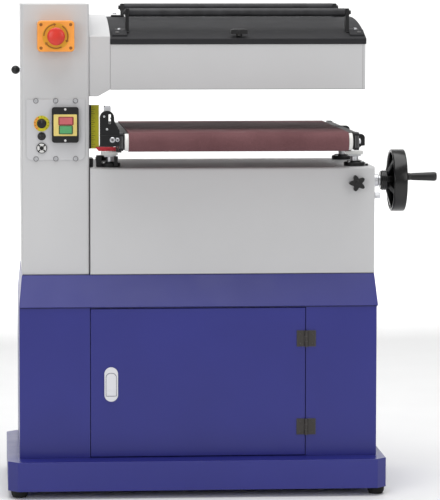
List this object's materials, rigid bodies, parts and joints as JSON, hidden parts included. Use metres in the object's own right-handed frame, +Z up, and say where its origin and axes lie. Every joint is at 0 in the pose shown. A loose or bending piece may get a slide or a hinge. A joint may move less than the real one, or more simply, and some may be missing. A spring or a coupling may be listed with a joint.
{
  "type": "drum sander",
  "caption": "Open-ended drum sander on a cabinet stand with an abrasive feed belt, a lifting table with a handwheel, a hinged lid and a control column.",
  "frame": {"origin": "on the floor, under the middle of the machine's overall length and depth", "axes": "+X to the operator's right, along the drum; +Y away from the operator, along the feed; +Z up"},
  "size_m": [1.003, 0.554, 1.118],
  "materials": {
    "blue_paint": "satin powder coat, violet blue",
    "grey_paint": "fine-textured powder coat, light grey",
    "charcoal_paint": "fine-textured powder coat, charcoal",
    "panel_grey": "satin",
    "black_plastic": "moulded, fine grain",
    "black_metal": "black paint",
    "roller_black": "smooth rubber sleeve",
    "foot_rubber": "matt",
    "belt_rubber": "matt",
    "hinge_steel": "dark bronze coat",
    "latch_metal": "pale satin",
    "bright_steel": "zinc plated",
    "table_steel": "grey paint",
    "cast_iron": "machined",
    "drum_aluminium": "turned",
    "motor_aluminium": "grey paint",
    "abrasive_cloth": "brown-mauve abrasive grit",
    "scale_yellow": "printed yellow scale",
    "red_paint": "red",
    "red_plastic": "moulded red",
    "green_plastic": "moulded green",
    "amber_plastic": "moulded amber"
  },
  "bodies": {
    "stand": {"plinth": "blue_paint", "foot_front_left": "foot_rubber", "foot_front_right": "foot_rubber", "foot_rear_left": "foot_rubber", "foot_rear_right": "foot_rubber", "cabinet_shell": "blue_paint", "cabinet_hood": "blue_paint", "hinge_plate_lower": "hinge_steel", "hinge_plate_upper": "hinge_steel", "bed_casing": "grey_paint", "column": "grey_paint", "head_arm": "grey_paint", "head_housing": "grey_paint", "dust_port": "black_plastic", "drive_motor": "motor_aluminium", "drive_belt": "belt_rubber", "lift_flange_left_front": "black_metal", "lift_flange_left_rear": "black_metal", "lift_flange_right_front": "black_metal", "lift_flange_right_rear": "black_metal", "height_scale": "scale_yellow", "control_plate": "panel_grey", "switch_frame": "black_plastic", "power_socket": "bright_steel", "estop_box": "amber_plastic"},
    "door": {"cabinet_door": "blue_paint", "latch_plate": "latch_metal"},
    "paddle": {"latch_paddle": "latch_metal"},
    "lid": {"head_lid": "charcoal_paint", "roller_bracket_front_left": "black_metal", "roller_bracket_front_right": "black_metal", "roller_bracket_rear_left": "black_metal", "roller_bracket_rear_right": "black_metal"},
    "catch": {"lid_catch": "black_plastic"},
    "front_return_roller": {"return_roller_front": "roller_black"},
    "rear_return_roller": {"return_roller_rear": "roller_black"},
    "drum": {"sanding_drum": "drum_aluminium", "abrasive_wrap": "abrasive_cloth"},
    "motor_rotor": {"motor_pulley": "cast_iron"},
    "front_pressure_roller": {"pressure_roller_front": "belt_rubber"},
    "rear_pressure_roller": {"pressure_roller_rear": "belt_rubber"},
    "table": {"conveyor_table": "table_steel", "conveyor_belt": "abrasive_cloth", "gear_motor": "black_metal", "height_pointer": "red_paint", "lift_post_left_front": "bright_steel", "lift_post_left_rear": "bright_steel", "lift_post_right_front": "bright_steel", "lift_post_right_rear": "bright_steel"},
    "front_belt_roller": {"drive_roller": "bright_steel"},
    "rear_belt_roller": {"idler_roller": "bright_steel"},
    "wheel": {"handwheel": "black_plastic"},
    "crank": {"crank_handle": "black_plastic"},
    "star": {"star_knob": "black_plastic"},
    "ball": {"side_knob": "black_plastic"},
    "stop": {"stop_button": "red_plastic"},
    "start": {"start_button": "green_plastic"},
    "dial": {"speed_dial": "black_plastic"},
    "reset": {"reset_button": "black_plastic"},
    "mushroom": {"estop_button": "red_plastic"}
  },
  "joints": [
    {"name": "door_swing", "type": "hinge", "parent": "stand", "child": "door", "pos_m": [0.181, -0.2095, 0.25], "axis": [0, 0, 1], "range_deg": [0, 110]},
    {"name": "paddle_pull", "type": "hinge", "parent": "door", "child": "paddle", "pos_m": [-0.2655, -0.2075, 0.278], "axis": [-1, 0, 0], "range_deg": [0, 35], "stiffness_Nm_per_rad": 0.02},
    {"name": "lid_open", "type": "hinge", "parent": "stand", "child": "lid", "pos_m": [0.03, 0.193, 1.029], "axis": [-1, 0, 0], "range_deg": [0, 78]},
    {"name": "catch_turn", "type": "hinge", "parent": "lid", "child": "catch", "pos_m": [0.031, -0.142, 1.05], "axis": [0, 0, 1], "range_deg": [0, 90]},
    {"name": "return_roller_front_spin", "type": "hinge", "parent": "lid", "child": "front_return_roller", "pos_m": [0.031, -0.09, 1.098], "axis": [1, 0, 0], "continuous": true},
    {"name": "return_roller_rear_spin", "type": "hinge", "parent": "lid", "child": "rear_return_roller", "pos_m": [0.031, 0.15, 1.107], "axis": [1, 0, 0], "continuous": true},
    {"name": "drum_spin", "type": "hinge", "parent": "stand", "child": "drum", "pos_m": [0.02, 0, 0.985], "axis": [1, 0, 0], "continuous": true},
    {"name": "motor_spin", "type": "hinge", "parent": "stand", "child": "motor_rotor", "pos_m": [-0.388, 0, 0.61], "axis": [1, 0, 0], "continuous": true},
    {"name": "pressure_roller_front_spin", "type": "hinge", "parent": "stand", "child": "front_pressure_roller", "pos_m": [0.029, -0.096, 0.934], "axis": [1, 0, 0], "continuous": true},
    {"name": "pressure_roller_rear_spin", "type": "hinge", "parent": "stand", "child": "rear_pressure_roller", "pos_m": [0.029, 0.096, 0.934], "axis": [1, 0, 0], "continuous": true},
    {"name": "handwheel_turn", "type": "hinge", "parent": "stand", "child": "wheel", "pos_m": [0.4, 0, 0.7025], "axis": [1, 0, 0], "range_deg": [-1440, 15660]},
    {"name": "crank_spin", "type": "hinge", "parent": "wheel", "child": "crank", "pos_m": [0.467, -0.06, 0.715], "axis": [1, 0, 0], "continuous": true},
    {"name": "table_lift", "type": "slide", "parent": "stand", "child": "table", "axis": [0, 0, 1], "range_m": [-0.008, 0.087]},
    {"name": "drive_roller_spin", "type": "hinge", "parent": "table", "child": "front_belt_roller", "pos_m": [0.0205, -0.2556, 0.809], "axis": [1, 0, 0], "continuous": true},
    {"name": "idler_roller_spin", "type": "hinge", "parent": "table", "child": "rear_belt_roller", "pos_m": [0.0205, 0.2556, 0.809], "axis": [1, 0, 0], "continuous": true},
    {"name": "star_knob_turn", "type": "hinge", "parent": "stand", "child": "star", "pos_m": [0.3, -0.18, 0.709], "axis": [0, 1, 0], "range_deg": [-360, 360]},
    {"name": "side_knob_turn", "type": "hinge", "parent": "stand", "child": "ball", "pos_m": [-0.478, 0, 0.964], "axis": [1, 0, 0], "range_deg": [-360, 360]},
    {"name": "stop_press", "type": "slide", "parent": "stand", "child": "stop", "axis": [0, 1, 0], "range_m": [0, 0.002], "stiffness_N_per_m": 300},
    {"name": "start_press", "type": "slide", "parent": "stand", "child": "start", "axis": [0, 1, 0], "range_m": [0, 0.002], "stiffness_N_per_m": 300},
    {"name": "dial_turn", "type": "hinge", "parent": "stand", "child": "dial", "pos_m": [-0.421, -0.17, 0.847], "axis": [0, 1, 0], "range_deg": [0, 270]},
    {"name": "reset_press", "type": "slide", "parent": "stand", "child": "reset", "axis": [0, 1, 0], "range_m": [0, 0.002], "stiffness_N_per_m": 300},
    {"name": "estop_press", "type": "slide", "parent": "stand", "child": "mushroom", "axis": [0, 1, 0], "range_m": [0, 0.005]}
  ],
  "couplings": [
    {"joint": "motor_spin", "follows": "drum_spin", "ratio": 1},
    {"joint": "handwheel_turn", "follows": "table_lift", "rad_per_m": 3141.6},
    {"joint": "idler_roller_spin", "follows": "drive_roller_spin", "ratio": 1}
  ]
}
